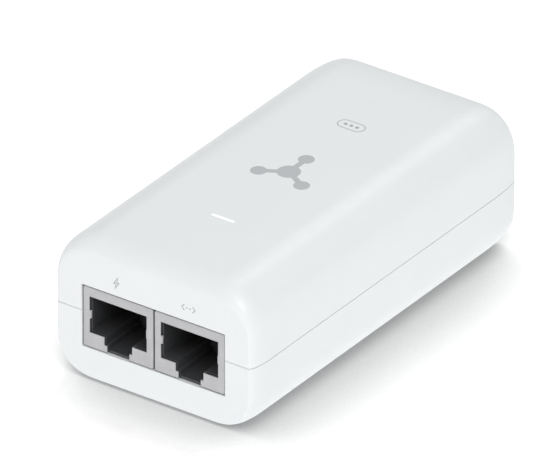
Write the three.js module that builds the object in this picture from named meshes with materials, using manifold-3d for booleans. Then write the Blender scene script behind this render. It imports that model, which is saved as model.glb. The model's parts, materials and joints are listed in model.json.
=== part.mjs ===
// A small white PoE injector: a two-part moulded case whose ends close in on soft shoulders, two
// shielded network jacks side by side in the front wall, an earthed mains inlet in the rear wall,
// and the power supply that fills the space between them.
// Millimetres, +Z up. The jacks face -Y, the inlet faces +Y, X = 0 is the middle of the case and
// z = 0 is the surface that the case lies on.

import * as THREE from 'three';
import { mergeVertices } from 'three/addons/utils/BufferGeometryUtils.js';
import Module from 'manifold-3d';

const wasm = await Module();
wasm.setup();

// ---------------------------------------------------------------- driving dimensions

const caseSize = { width: 46, length: 86.8, height: 29.8 };
const wall = 2.2;
const seamHeight = 14.7;
const seamGap = 0.15;
const clearance = 0.3;

// Section corners are superellipses, and so are the shoulders on which the ends close in.
const cornerPower = 2.43;
const topCorner = { across: 9.5, tall: 9.7 };
const baseCorner = { across: 9.1, tall: 9.7 };
const shoulder = {
  frontSide: { inset: 1.4, along: 5.5, power: 2.2 },
  rearSide: { inset: 1.15, along: 9, power: 2 },
  frontTop: { inset: 3.2, along: 4.6, power: 2.3 },
  rearTop: { inset: 1.1, along: 8.6, power: 2 },
  base: { inset: 0.85, along: 6.8, power: 2 },
};

// Tongue on the lower shell and the rebate that takes it in the upper one.
const tongue = { outerInset: 1.3, rise: 1.4, drop: 1.2 };
const rebate = { outerInset: 1.0, rise: 1.7 };

const board = { width: 37.6, length: 81, thick: 1.6, top: 6.7, corner: 3 };
const sheet = { thick: 0.25, gap: 0.3 };
const post = { radius: 2.6, x: 16.6, y: -21.2 };
const screw = { shaft: 1, head: 2.1, headTall: 1.3, hole: 1.3 };

const jack = { width: 16, height: 12.95, depth: 15.6, pitch: 16.33, bottom: 7.1, recess: 0.24 };
const portGap = { side: 0.235, top: 0.3, bottom: 0.15 };
const shieldSheet = 0.35;

// Heights above the jack's bottom edge, and half widths, of the plug opening in the shield's face.
const mouth = { top: 10.99, floor: 3.19, step: 1.5, half: 6.55, stepHalf: 3.2, slotHalf: 2.565 };
const finger = { out: 0.34, tall: 1.7, below: 3.06 };
const socket = { shrink: 0.35, depth: 12.2, roof: 11.95, roofHalf: 4.7, lintel: 1.2 };

const contact = {
  count: 8, pitch: 1.016, wide: 0.46, thick: 0.32, hook: 0.5, back: 0.3,
  slope: 24, leg: 7.4, tip: 1.1, tipRise: 20, fromFace: 3.15, height: 10.9,
};
const carrier = { half: 4.5, bottom: 10.6, top: 11.8, start: 3.85, leg: 1.1 };

const inlet = { width: 20.8, height: 15.2, depth: 14.6, corner: 3, recess: 0.3, cavity: 11.6 };
const clover = { lobe: 4.1, spread: 5, lineRise: 1.7, earthDrop: 3.4 };
const pin = { radius: 1.2, out: 9, tail: 2, tip: 0.5 };

const lightPipe = {
  x: 0.45, y: -21.45, length: 5.3, width: 0.8, bodyLength: 7, bodyWidth: 2, bottom: 9.1,
};

// ---------------------------------------------------------------- materials

const finish = (color, roughness, metalness = 0) =>
  new THREE.MeshStandardMaterial({ color, roughness, metalness });

const whitePlastic = finish(0xeef0f1, 0.45);
const blackPlastic = finish(0x17181a, 0.5);
const clearPlastic = finish(0xf4f8ff, 0.15);
const shieldMetal = finish(0xbfc1c2, 0.42, 0.9);
const goldPlate = finish(0xd8b25a, 0.3, 1);
const brightPin = finish(0xd5d3cc, 0.3, 1);
const boardGreen = finish(0x1f6b3f, 0.55);
const ferrite = finish(0x2b2b2d, 0.7);
const copperWire = finish(0xb56a35, 0.4, 0.6);
const yellowTape = finish(0xe2b93b, 0.5);
const greyFilm = finish(0xd9dbd6, 0.5);
const blueDisc = finish(0x2d63b5, 0.45);
const greenDisc = finish(0x2f7d4f, 0.5);
const aluminium = finish(0xb4b7ba, 0.45, 0.9);
const chipBlack = finish(0x202124, 0.6);
const sleeveDark = finish(0x2a2230, 0.4);

// ---------------------------------------------------------------- geometry helpers

const radians = THREE.MathUtils.degToRad;
const injector = new THREE.Group();

// A closed manifold solid from a geometry, with its shared vertices merged.
function solid(geometry) {
  const bare = geometry.clone();
  bare.deleteAttribute('normal');
  bare.deleteAttribute('uv');
  const merged = mergeVertices(bare, 1e-5);
  return new wasm.Manifold(new wasm.Mesh({
    numProp: 3,
    vertProperties: new Float32Array(merged.attributes.position.array),
    triVerts: new Uint32Array(merged.index.array),
  }));
}

function geometryOf(body) {
  const made = body.getMesh();
  const geometry = new THREE.BufferGeometry();
  geometry.setAttribute('position', new THREE.BufferAttribute(new Float32Array(made.vertProperties), 3));
  geometry.setIndex(new THREE.BufferAttribute(new Uint32Array(made.triVerts), 1));
  geometry.computeVertexNormals();
  return geometry;
}

function add(name, shape, material) {
  const geometry = shape instanceof THREE.BufferGeometry ? shape : geometryOf(shape);
  const mesh = new THREE.Mesh(geometry, material);
  mesh.name = name;
  injector.add(mesh);
  return mesh;
}

// A box from its lowest to its highest corner.
function boxBetween(low, high) {
  const size = high.map((value, i) => value - low[i]);
  const middle = high.map((value, i) => (value + low[i]) / 2);
  return new THREE.BoxGeometry(...size).translate(...middle);
}

// A block that stands on the board, given by its middle and its size.
function onBoard(x, y, size, lift = clearance) {
  const z = board.top + lift;
  return boxBetween(
    [x - size[0] / 2, y - size[1] / 2, z],
    [x + size[0] / 2, y + size[1] / 2, z + size[2]],
  );
}

function roundedRectangle(width, height, radius) {
  const w = width / 2 - radius;
  const h = height / 2 - radius;
  const outline = new THREE.Shape();
  outline.absarc(w, h, radius, 0, Math.PI / 2);
  outline.absarc(-w, h, radius, Math.PI / 2, Math.PI);
  outline.absarc(-w, -h, radius, Math.PI, Math.PI * 1.5);
  outline.absarc(w, -h, radius, Math.PI * 1.5, Math.PI * 2);
  outline.closePath();
  return outline;
}

// A prism: the outline lies in XY and rises by depth.
function prism(outline, depth, curveSegments = 5) {
  return new THREE.ExtrudeGeometry(outline, { depth, bevelEnabled: false, curveSegments });
}

// A prism whose outline is seen from the front (X to the right, Z up) and runs from y0 to y1.
function frontPrism(outline, y0, y1, curveSegments = 5) {
  return prism(outline, y1 - y0, curveSegments).rotateX(Math.PI / 2).translate(0, y1, 0);
}

// A round solid on the Z axis from [radius, height] pairs, closed on the axis.
function turned(profile, sides = 20) {
  return new THREE.LatheGeometry(profile.map(([r, z]) => new THREE.Vector2(r, z)), sides)
    .rotateX(Math.PI / 2);
}

function rod(radius, z0, z1, sides = 16) {
  return turned([[0, z0], [radius, z0], [radius, z1], [0, z1]], sides);
}

// The outline of a bent strip of even thickness along a line of [x, y] points.
function stripOutline(line, thick) {
  const side = (sign) => line.map(([x, y], i) => {
    const [ax, ay] = line[Math.max(i - 1, 0)];
    const [bx, by] = line[Math.min(i + 1, line.length - 1)];
    const length = Math.hypot(bx - ax, by - ay);
    return new THREE.Vector2(
      x - sign * (by - ay) / length * thick / 2,
      y + sign * (bx - ax) / length * thick / 2,
    );
  });
  return new THREE.Shape([...side(-1), ...side(1).reverse()]);
}

// ---------------------------------------------------------------- the case

// How far a shoulder has closed in at this depth behind the end face.
function closedIn({ inset, along, power }, depth) {
  const share = Math.min(depth / along, 1);
  return inset * (1 - (1 - (1 - share) ** power) ** (1 / power));
}

// One ring of the case's surface, depth behind an end face. end is -1 at the front, 1 at the rear.
function caseRing(inset, depth, end, cornerSteps) {
  const ring = [];
  const [sideShoulder, topShoulder] = end < 0
    ? [shoulder.frontSide, shoulder.frontTop] : [shoulder.rearSide, shoulder.rearTop];
  const sideInset = inset + closedIn(sideShoulder, depth);
  const y = end * (caseSize.length / 2 - inset - depth);
  const corner = (sideSign, isTop, degrees) => {
    const shape = isTop ? topCorner : baseCorner;
    const lipInset = inset + closedIn(isTop ? topShoulder : shoulder.base, depth);
    const angle = radians(degrees);
    const across = shape.across - 0.8 * sideInset;
    const tall = shape.tall - 0.8 * lipInset;
    const x = caseSize.width / 2 - sideInset - across * (1 - Math.cos(angle) ** (2 / cornerPower));
    const fromEdge = lipInset + tall * (1 - Math.sin(angle) ** (2 / cornerPower));
    ring.push([sideSign * x, y, isTop ? caseSize.height - fromEdge : fromEdge]);
  };
  const steps = Array.from({ length: cornerSteps + 1 }, (_, i) => 90 * i / cornerSteps);
  steps.forEach((degrees) => corner(1, true, Math.min(degrees, 90 - 1e-9)));
  [...steps].reverse().forEach((degrees) => corner(-1, true, Math.min(degrees, 90 - 1e-9)));
  steps.forEach((degrees) => corner(-1, false, Math.min(degrees, 90 - 1e-9)));
  [...steps].reverse().forEach((degrees) => corner(1, false, Math.min(degrees, 90 - 1e-9)));
  return ring;
}

// The case's whole outer surface, moved inwards by inset, as one closed solid.
function caseBody(inset, cornerSteps, shoulderSteps) {
  const rings = [];
  for (const end of [-1, 1]) {
    const half = [];
    for (let i = 0; i <= shoulderSteps; i += 1) {
      const depth = shoulder.rearSide.along * (i / shoulderSteps) ** 2.2;
      half.push(caseRing(inset, depth, end, cornerSteps));
    }
    rings.push(...(end > 0 ? half.reverse() : half));
  }
  const count = rings[0].length;
  const points = rings.flat();
  const faces = [];
  for (let r = 0; r + 1 < rings.length; r += 1) {
    for (let i = 0; i < count; i += 1) {
      const next = (i + 1) % count;
      const [a, b] = [r * count + i, (r + 1) * count + i];
      const [c, d] = [(r + 1) * count + next, r * count + next];
      faces.push(a, b, c, a, c, d);
    }
  }
  const last = (rings.length - 1) * count;
  for (let i = 1; i + 1 < count; i += 1) {
    faces.push(0, i, i + 1);
    faces.push(last, last + i + 1, last + i);
  }
  const geometry = new THREE.BufferGeometry();
  geometry.setAttribute('position', new THREE.Float32BufferAttribute(points.flat(), 3));
  geometry.setIndex(faces);
  return solid(geometry);
}

const frontFace = -caseSize.length / 2;
const rearFace = caseSize.length / 2;
const caseMiddle = caseSize.height / 2;
const boardBottom = board.top - board.thick;
const postTop = boardBottom - sheet.gap * 2 - sheet.thick;

function slab(z0, z1) {
  return solid(boxBetween([-50, -60, z0], [50, 60, z1]));
}

// What both shells leave open: the jack port, the inlet hole and the slot over the light pipe.
function caseOpenings() {
  const halfPort = jack.pitch / 2 + jack.width / 2 + portGap.side;
  const port = solid(boxBetween(
    [-halfPort, frontFace - 1, jack.bottom - portGap.bottom],
    [halfPort, frontFace + wall + 1, jack.bottom + jack.height + portGap.top],
  ));
  const hole = roundedRectangle(inlet.width + 0.6, inlet.height + 0.6, inlet.corner + 0.3);
  const rear = solid(frontPrism(hole, rearFace - wall - 1, rearFace + 1).translate(0, 0, caseMiddle));
  const slot = solid(boxBetween(
    [-lightPipe.length / 2 - 0.1, -lightPipe.width / 2 - 0.1, caseSize.height - wall - 1],
    [lightPipe.length / 2 + 0.1, lightPipe.width / 2 + 0.1, caseSize.height + 1],
  ).translate(lightPipe.x, lightPipe.y, 0));
  return port.add(rear).add(slot);
}

const outer = caseBody(0, 7, 7);
const hollow = caseBody(wall, 4, 3);
const openings = caseOpenings();

function upperShell() {
  const groove = caseBody(rebate.outerInset, 4, 2)
    .intersect(slab(seamHeight - 1, seamHeight + rebate.rise));
  return outer.subtract(slab(-1, seamHeight + seamGap / 2))
    .subtract(hollow).subtract(groove).subtract(openings);
}

function lowerShell() {
  const rib = caseBody(tongue.outerInset, 4, 2).subtract(hollow)
    .intersect(slab(seamHeight - tongue.drop, seamHeight + tongue.rise));
  let shell = outer.subtract(slab(seamHeight - seamGap / 2, caseSize.height + 1))
    .subtract(hollow).add(rib).subtract(openings);
  for (const x of [-post.x, post.x]) {
    shell = shell.add(solid(rod(post.radius, wall - 0.2, postTop).translate(x, post.y, 0)));
    shell = shell.subtract(solid(rod(screw.hole, wall - 0.2, postTop + 1, 10).translate(x, post.y, 0)));
  }
  return shell;
}

add('upper_shell', upperShell(), whitePlastic);
add('lower_shell', lowerShell(), whitePlastic);

// ---------------------------------------------------------------- board, sheet and screws

function screwHoles(z0, z1) {
  const one = (x) => solid(rod(screw.hole, z0, z1, 12).translate(x, post.y, 0));
  return one(-post.x).add(one(post.x));
}

function boardPlate(z0, thick, shrink) {
  const outline = roundedRectangle(board.width - shrink, board.length - shrink, board.corner);
  return solid(prism(outline, thick, 3).translate(0, 0, z0));
}

add('main_circuit_board',
  boardPlate(boardBottom, board.thick, 0).subtract(screwHoles(0, 20)), boardGreen);
add('insulating_sheet',
  boardPlate(boardBottom - sheet.gap - sheet.thick, sheet.thick, 1).subtract(screwHoles(0, 20)),
  greyFilm);

[['board_screw_left', -post.x], ['board_screw_right', post.x]].forEach(([name, x]) => {
  const headBottom = board.top + 0.2;
  add(name, turned([
    [0, 2.5], [screw.shaft, 3], [screw.shaft, headBottom], [screw.head, headBottom],
    [screw.head, headBottom + screw.headTall * 0.5], [screw.head * 0.6, headBottom + screw.headTall],
    [0, headBottom + screw.headTall],
  ], 12).translate(x, post.y, 0), brightPin);
});

// ---------------------------------------------------------------- status light

add('status_led', onBoard(lightPipe.x, lightPipe.y, [3, 1.6, 1.7], 0.1), yellowTape);
add('led_light_pipe', solid(boxBetween(
  [-lightPipe.bodyLength / 2, -lightPipe.bodyWidth / 2, lightPipe.bottom],
  [lightPipe.bodyLength / 2, lightPipe.bodyWidth / 2, caseSize.height - wall - clearance],
)).add(solid(boxBetween(
  [-lightPipe.length / 2, -lightPipe.width / 2, lightPipe.bottom + 1],
  [lightPipe.length / 2, lightPipe.width / 2, caseSize.height],
))).translate(lightPipe.x, lightPipe.y, 0), clearPlastic);

// ---------------------------------------------------------------- network jacks

const jackFace = frontFace + jack.recess;

// The plug opening in the shield's face, seen from the front, with its two side fingers.
function mouthOutline() {
  const fingerTop = mouth.top - finger.below;
  const half = [
    [mouth.slotHalf, -1], [mouth.slotHalf, mouth.step], [mouth.stepHalf, mouth.step],
    [mouth.stepHalf, mouth.floor], [mouth.half, mouth.floor],
    [mouth.half, fingerTop - finger.tall], [mouth.half - finger.out, fingerTop - finger.tall],
    [mouth.half - finger.out, fingerTop], [mouth.half, fingerTop], [mouth.half, mouth.top],
  ];
  const left = half.map(([x, z]) => [-x, z]).reverse();
  return new THREE.Shape([...half, ...left].map(([x, z]) => new THREE.Vector2(x, z)));
}

// Folded sheet: front, two sides, top and back, open below where it sits on the board.
function jackShield(x) {
  const halfWidth = jack.width / 2;
  const block = solid(boxBetween(
    [x - halfWidth, jackFace, jack.bottom],
    [x + halfWidth, jackFace + jack.depth, jack.bottom + jack.height],
  ));
  const inside = solid(boxBetween(
    [x - halfWidth + shieldSheet, jackFace + shieldSheet, jack.bottom - 1],
    [x + halfWidth - shieldSheet, jackFace + jack.depth - shieldSheet,
      jack.bottom + jack.height - shieldSheet],
  ));
  const opening = solid(frontPrism(mouthOutline(), jackFace - 1, jackFace + 1)
    .translate(x, 0, jack.bottom));
  return block.subtract(inside).subtract(opening);
}

// Black moulding inside the shield, hollowed for the plug, its latch and the contact wires.
function jackHousing(x) {
  const gap = shieldSheet + 0.15;
  const front = jackFace + gap;
  const cavityBack = front + socket.depth;
  const at = (x0, x1, y0, y1, z0, z1) => solid(boxBetween(
    [x + x0, y0, jack.bottom + z0], [x + x1, y1, jack.bottom + z1],
  ));
  const half = jack.width / 2 - gap;
  const plugHalf = mouth.half - socket.shrink;
  const stepHalf = mouth.stepHalf - 0.1;
  const slotHalf = mouth.slotHalf - 0.05;
  return at(-half, half, front, jackFace + jack.depth - gap, 0, jack.height - gap)
    .subtract(at(-plugHalf, plugHalf, front - 1, cavityBack, mouth.floor + 0.15, mouth.top - 0.17))
    .subtract(at(-stepHalf, stepHalf, front - 1, cavityBack - 1.5, mouth.step + 0.12, mouth.floor + 1))
    .subtract(at(-slotHalf, slotHalf, front - 1, cavityBack - 1.5, 0.55, mouth.step + 1))
    .subtract(at(-socket.roofHalf, socket.roofHalf, front + socket.lintel, cavityBack,
      mouth.top - 1, socket.roof))
    .subtract(at(-socket.roofHalf, socket.roofHalf, cavityBack - 1, cavityBack + 1.4,
      -1, socket.roof));
}

// Plastic carrier over the plug space, with the leg that brings the leads down to the board.
function contactCarrier(x) {
  const front = jackFace + shieldSheet + 0.15;
  const legFront = front + socket.depth + 0.1;
  const top = jack.bottom + carrier.top;
  const plate = solid(boxBetween(
    [x - carrier.half, jackFace + carrier.start, jack.bottom + carrier.bottom],
    [x + carrier.half, legFront + carrier.leg, top],
  ));
  const leg = solid(boxBetween(
    [x - carrier.half, legFront, jack.bottom],
    [x + carrier.half, legFront + carrier.leg, top],
  ));
  return plate.add(leg);
}

// The centre line of one sprung wire in the YZ plane about its hook: round the hook, down the
// slope into the plug space, and up at the tip.
function contactLine() {
  const line = [[contact.back, contact.hook]];
  const hookSteps = 5;
  const hookEnd = 270 - contact.slope;
  for (let i = 0; i <= hookSteps; i += 1) {
    const angle = radians(90 + (hookEnd - 90) * i / hookSteps);
    line.push([contact.hook * Math.cos(angle), contact.hook * Math.sin(angle)]);
  }
  const go = (length, degrees) => {
    const [y, z] = line[line.length - 1];
    line.push([y + length * Math.cos(radians(degrees)), z + length * Math.sin(radians(degrees))]);
  };
  go(contact.leg, -contact.slope);
  go(contact.tip, contact.tipRise);
  return line;
}

function contactWire(x) {
  const outline = stripOutline(contactLine(), contact.thick);
  // The prism's X and Y become the object's Y and Z, and its height becomes X.
  return prism(outline, contact.wide)
    .applyMatrix4(new THREE.Matrix4().makeBasis(
      new THREE.Vector3(0, 1, 0), new THREE.Vector3(0, 0, 1), new THREE.Vector3(1, 0, 0),
    ))
    .translate(x - contact.wide / 2, jackFace + contact.fromFace, jack.bottom + contact.height);
}

[['poe', -jack.pitch / 2], ['data', jack.pitch / 2]].forEach(([name, x]) => {
  add(`${name}_jack_shield`, jackShield(x), shieldMetal);
  add(`${name}_jack_housing`, jackHousing(x), blackPlastic);
  add(`${name}_contact_carrier`, contactCarrier(x), blackPlastic);
  for (let i = 0; i < contact.count; i += 1) {
    const offset = (i - (contact.count - 1) / 2) * contact.pitch;
    add(`${name}_contact_${i + 1}`, contactWire(x + offset), goldPlate);
  }
});

// ---------------------------------------------------------------- mains inlet

const inletFace = rearFace - inlet.recess;
const pinPlaces = [
  ['inlet_line_pin', -clover.spread, clover.lineRise],
  ['inlet_neutral_pin', clover.spread, clover.lineRise],
  ['inlet_earth_pin', 0, -clover.earthDrop],
];

// A rod along Y from y0 to y1 at (x, z) measured from the middle of the inlet.
function inletRod(radius, x, z, y0, y1, sides) {
  return rod(radius, y0, y1, sides).rotateX(-Math.PI / 2).translate(x, 0, caseMiddle + z);
}

function inletHousing() {
  const outline = roundedRectangle(inlet.width, inlet.height, inlet.corner);
  const back = inletFace - inlet.depth;
  let body = solid(frontPrism(outline, back, inletFace).translate(0, 0, caseMiddle));
  for (const [, x, z] of pinPlaces) {
    body = body.subtract(solid(inletRod(clover.lobe, x, z, inletFace - inlet.cavity, rearFace + 1, 20)));
  }
  const middle = boxBetween(
    [-clover.lobe * 0.9, inletFace - inlet.cavity, caseMiddle - clover.earthDrop],
    [clover.lobe * 0.9, rearFace + 1, caseMiddle + clover.lineRise + clover.lobe * 0.62],
  );
  body = body.subtract(solid(middle));
  for (const [, x, z] of pinPlaces) {
    const hole = inletRod(pin.radius + clearance, x, z, back - 1, inletFace - inlet.cavity + 1, 14);
    body = body.subtract(solid(hole));
  }
  return body;
}

add('inlet_housing', inletHousing(), blackPlastic);
pinPlaces.forEach(([name, x, z]) => {
  const start = inletFace - inlet.depth - pin.tail;
  const end = inletFace - inlet.cavity + pin.out;
  const profile = [
    [0, start], [pin.radius, start], [pin.radius, end - pin.tip], [pin.radius * 0.55, end], [0, end],
  ];
  add(name, turned(profile, 14).rotateX(-Math.PI / 2).translate(x, 0, caseMiddle + z), brightPin);
});

// ---------------------------------------------------------------- mains side of the supply

// A disc with a rounded rim that stands on edge across the Y axis.
function standingDisc(x, y, radius, thick) {
  const half = thick / 2;
  return turned([
    [0, -half], [radius * 0.82, -half], [radius, -half * 0.4], [radius, half * 0.4],
    [radius * 0.82, half], [0, half],
  ], 18).rotateX(Math.PI / 2).translate(x, y, board.top + clearance + radius);
}

function standingCan(x, y, radius, tall, sides = 20) {
  const z = board.top + clearance;
  return turned([
    [0, z], [radius, z], [radius, z + tall - 0.5], [radius - 0.5, z + tall], [0, z + tall],
  ], sides).translate(x, y, 0);
}

function toroid(radius, thick, half) {
  return turned([
    [radius - thick, -half], [radius, -half], [radius, half], [radius - thick, half],
    [radius - thick, -half],
  ], 20);
}

add('fuse', turned([
  [0, -9.5], [1.7, -9.5], [1.7, -6.5], [1.5, -6.3], [1.5, 6.3], [1.7, 6.5], [1.7, 9.5], [0, 9.5],
], 12).rotateY(Math.PI / 2).translate(0, 25.6, board.top + 2.2), brightPin);
add('x_capacitor', onBoard(-15, 30.2, [6, 11.6, 12]), yellowTape);
add('inrush_thermistor', standingDisc(-15, 38.4, 3.6, 3), greenDisc);
add('varistor', standingDisc(15, 38.4, 3.6, 3), blueDisc);

// The choke: a ferrite ring on edge with two wound halves that wrap its front and rear.
const choke = { x: 15, y: 30, radius: 5.4, thick: 2.2, half: 1.6, coilGap: 0.3, coilWall: 0.8 };
const chokeHeight = board.top + clearance + choke.radius + choke.coilGap + choke.coilWall;

function chokePlace(geometry) {
  return geometry.rotateY(Math.PI / 2).translate(choke.x, choke.y, chokeHeight);
}

function chokeWinding(sign) {
  const skin = choke.coilGap + choke.coilWall;
  const outside = toroid(choke.radius + skin, choke.thick + 2 * skin, choke.half + skin);
  const inside = toroid(
    choke.radius + choke.coilGap, choke.thick + 2 * choke.coilGap, choke.half + choke.coilGap,
  );
  const reach = choke.radius * 2;
  const wedge = sign < 0
    ? boxBetween([-reach, -reach, -reach], [reach, -1.6, reach])
    : boxBetween([-reach, 1.6, -reach], [reach, reach, reach]);
  return geometryOf(solid(outside).subtract(solid(inside)).intersect(solid(wedge)));
}

add('choke_core', chokePlace(toroid(choke.radius, choke.thick, choke.half)), ferrite);
add('choke_winding_line', chokePlace(chokeWinding(-1)), copperWire);
add('choke_winding_neutral', chokePlace(chokeWinding(1)), copperWire);

add('bridge_rectifier', onBoard(10.6, 20.4, [14.6, 3.6, 10]), chipBlack);
add('bulk_capacitor', standingCan(12.1, 11.1, 6.3, 17.5), sleeveDark);

// ---------------------------------------------------------------- power devices and heat sinks

// Each heat sink is an upright plate with its device a short way in front of it.
const partBase = board.top + clearance;
add('primary_heat_sink', boxBetween([-17.4, 21.9, partBase], [-1.6, 23.3, partBase + 16]), aluminium);
add('switching_transistor', boxBetween([-14.6, 17.4, partBase + 3], [-4.6, 21.6, partBase + 15]), chipBlack);
add('rectifier_heat_sink', boxBetween([17, -14.6, partBase], [18.2, -1.2, partBase + 15]), aluminium);
add('output_rectifier', boxBetween([12.6, -13, partBase + 3], [16.7, -3, partBase + 15]), chipBlack);

// ---------------------------------------------------------------- transformer

const transformer = {
  x: -8, y: 8.6, width: 19.6, tall: 16.6, stack: 6.8, centre: 5.6, leg: 2.8, yoke: 2.8,
  coilGap: 0.3, coilDepth: 14.4,
};

function transformerCore() {
  const { x, y, width, tall, stack, centre, leg, yoke } = transformer;
  const low = partBase;
  const window = (x0, x1) => solid(boxBetween(
    [x + x0, y - stack, low + yoke], [x + x1, y + stack, low + tall - yoke],
  ));
  return solid(boxBetween([x - width / 2, y - stack / 2, low], [x + width / 2, y + stack / 2, low + tall]))
    .subtract(window(-width / 2 + leg, -centre / 2))
    .subtract(window(centre / 2, width / 2 - leg));
}

function transformerWinding() {
  const { x, y, width, tall, stack, centre, leg, yoke, coilGap, coilDepth } = transformer;
  const low = partBase + yoke + coilGap;
  const high = partBase + tall - yoke - coilGap;
  const halfAcross = width / 2 - leg - coilGap;
  const outline = roundedRectangle(halfAcross * 2, coilDepth, 2.5);
  return solid(prism(outline, high - low, 4).translate(x, y, low))
    .subtract(solid(boxBetween(
      [x - centre / 2 - coilGap, y - stack / 2 - coilGap, low - 1],
      [x + centre / 2 + coilGap, y + stack / 2 + coilGap, high + 1],
    )));
}

add('transformer_core', transformerCore(), ferrite);
add('transformer_winding', transformerWinding(), yellowTape);

// ---------------------------------------------------------------- output and data side

add('y_capacitor', standingDisc(14.6, 1.6, 3.8, 3.2), blueDisc);
add('optocoupler', onBoard(6.8, 1.4, [6.4, 4.4, 3.4]), chipBlack);
add('output_capacitor_1', standingCan(-13.6, -7.4, 4.4, 14, 18), sleeveDark);
add('output_capacitor_2', standingCan(-4, -7.4, 4.4, 14, 18), sleeveDark);
add('output_inductor', turned([
  [0, 0], [4.9, 0], [4.9, 1.2], [3.6, 1.6], [3.6, 7.4], [4.9, 7.8], [4.9, 9], [0, 9],
], 18).translate(6.2, -7.6, partBase), ferrite);
add('data_transformer', onBoard(-9, -20.6, [9.4, 10.4, 5.8]), chipBlack);
add('poe_controller_chip', onBoard(9.6, -18, [7.4, 7.6, 2.2]), chipBlack);
add('poe_power_switch', onBoard(9.6, -24.4, [5, 3.6, 1.4]), chipBlack);

export default injector;
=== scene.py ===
"""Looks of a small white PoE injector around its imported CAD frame.

Everything is in metres in the CAD's own frame: the jacks face -Y, the mains inlet faces +Y and +Z is up.
"""

import json
import math

import bmesh
import bpy
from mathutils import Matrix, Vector


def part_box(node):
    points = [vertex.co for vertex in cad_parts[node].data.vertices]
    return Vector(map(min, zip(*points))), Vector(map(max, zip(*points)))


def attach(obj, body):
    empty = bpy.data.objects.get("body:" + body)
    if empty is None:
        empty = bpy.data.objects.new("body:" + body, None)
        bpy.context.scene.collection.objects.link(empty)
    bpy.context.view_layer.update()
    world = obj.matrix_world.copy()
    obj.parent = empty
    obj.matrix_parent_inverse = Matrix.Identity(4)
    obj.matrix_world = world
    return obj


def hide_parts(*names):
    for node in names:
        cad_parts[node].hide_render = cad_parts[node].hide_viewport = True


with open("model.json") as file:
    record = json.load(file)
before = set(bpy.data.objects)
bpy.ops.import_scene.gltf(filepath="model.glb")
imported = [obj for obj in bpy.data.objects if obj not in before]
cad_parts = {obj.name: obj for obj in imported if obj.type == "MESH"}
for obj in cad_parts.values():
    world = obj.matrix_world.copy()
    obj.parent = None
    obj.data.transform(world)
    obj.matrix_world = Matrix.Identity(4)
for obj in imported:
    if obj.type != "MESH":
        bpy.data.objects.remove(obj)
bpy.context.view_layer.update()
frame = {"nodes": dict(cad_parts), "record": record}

MM = 0.001
SKIN = 0.03 * MM  # how far the visual case lies inside the CAD case, which leaves room for printed ink
scene = bpy.context.scene
scene.view_settings.view_transform = "Standard"


# ---------------------------------------------------------------- places, read from the frame

def middle(node):
    low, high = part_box(node)
    return (low + high) / 2


def size(node):
    low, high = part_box(node)
    return high - low


upper_low, upper_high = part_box("upper_shell")
CASE_HALF_WIDTH = upper_high.x
CASE_HALF_LENGTH = upper_high.y
CASE_HEIGHT = upper_high.z
LOWER_RIM = 14.625 * MM  # top of the lower shell's outer wall; the seam is half way to the upper shell
SEAM_HEIGHT = (upper_low.z + LOWER_RIM) / 2
WALL = 2.2 * MM


# ---------------------------------------------------------------- mesh helpers

def link(name, mesh):
    obj = bpy.data.objects.new(name, mesh)
    scene.collection.objects.link(obj)
    return obj


def mesh_object(name, vertices, faces):
    """A mesh object with its faces turned outwards."""
    mesh = bpy.data.meshes.new(name)
    mesh.from_pydata([tuple(v) for v in vertices], [], faces)
    edit(mesh, lambda work: bmesh.ops.recalc_face_normals(work, faces=work.faces))
    return link(name, mesh)


def edit(mesh, change):
    work = bmesh.new()
    work.from_mesh(mesh)
    change(work)
    work.to_mesh(mesh)
    work.free()


def loft(name, rings):
    """A closed solid through rings of equally many points."""
    count = len(rings[0])
    vertices = [point for ring in rings for point in ring]
    faces = []
    for r in range(len(rings) - 1):
        for i in range(count):
            j = (i + 1) % count
            faces.append((r * count + i, (r + 1) * count + i, (r + 1) * count + j, r * count + j))
    faces.append(tuple(range(count)))
    faces.append(tuple(range((len(rings) - 1) * count, len(rings) * count))[::-1])
    return mesh_object(name, vertices, faces)


def box(name, low, high):
    x0, y0, z0 = low
    x1, y1, z1 = high
    base = [(x0, y0), (x1, y0), (x1, y1), (x0, y1)]
    return loft(name, [[(x, y, z) for x, y in base] for z in (z0, z1)])


def front_prism(name, outline, y0, y1):
    """A prism from y0 to y1 whose outline is a list of (x, z)."""
    return loft(name, [[(x, y, z) for x, z in outline] for y in (y0, y1)])


def upright_prism(name, outline, z0, z1):
    """A prism from z0 to z1 whose outline is a list of (x, y)."""
    return loft(name, [[(x, y, z) for x, y in outline] for z in (z0, z1)])


def rounded_rectangle(half_width, half_height, radius, steps=6, at=(0, 0)):
    points = []
    for quarter, (sx, sy) in enumerate([(1, 1), (-1, 1), (-1, -1), (1, -1)]):
        for i in range(steps + 1):
            angle = math.radians(90 * (quarter + i / steps))
            points.append((
                at[0] + sx * (half_width - radius) + radius * math.cos(angle),
                at[1] + sy * (half_height - radius) + radius * math.sin(angle),
            ))
    return points


def remove(obj):
    mesh = obj.data
    bpy.data.objects.remove(obj)
    bpy.data.meshes.remove(mesh)


def bake(obj):
    """Applies the object's modifiers to its mesh."""
    graph = bpy.context.evaluated_depsgraph_get()
    made = bpy.data.meshes.new_from_object(obj.evaluated_get(graph))
    obj.modifiers.clear()
    old = obj.data
    obj.data = made
    bpy.data.meshes.remove(old)


def combine(obj, tool, operation="DIFFERENCE"):
    """Cuts tool out of obj, or joins or intersects them. The tool is used up."""
    modifier = obj.modifiers.new("combine", "BOOLEAN")
    modifier.operation = operation
    modifier.solver = "MANIFOLD"
    modifier.object = tool
    bake(obj)
    remove(tool)
    return obj


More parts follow.
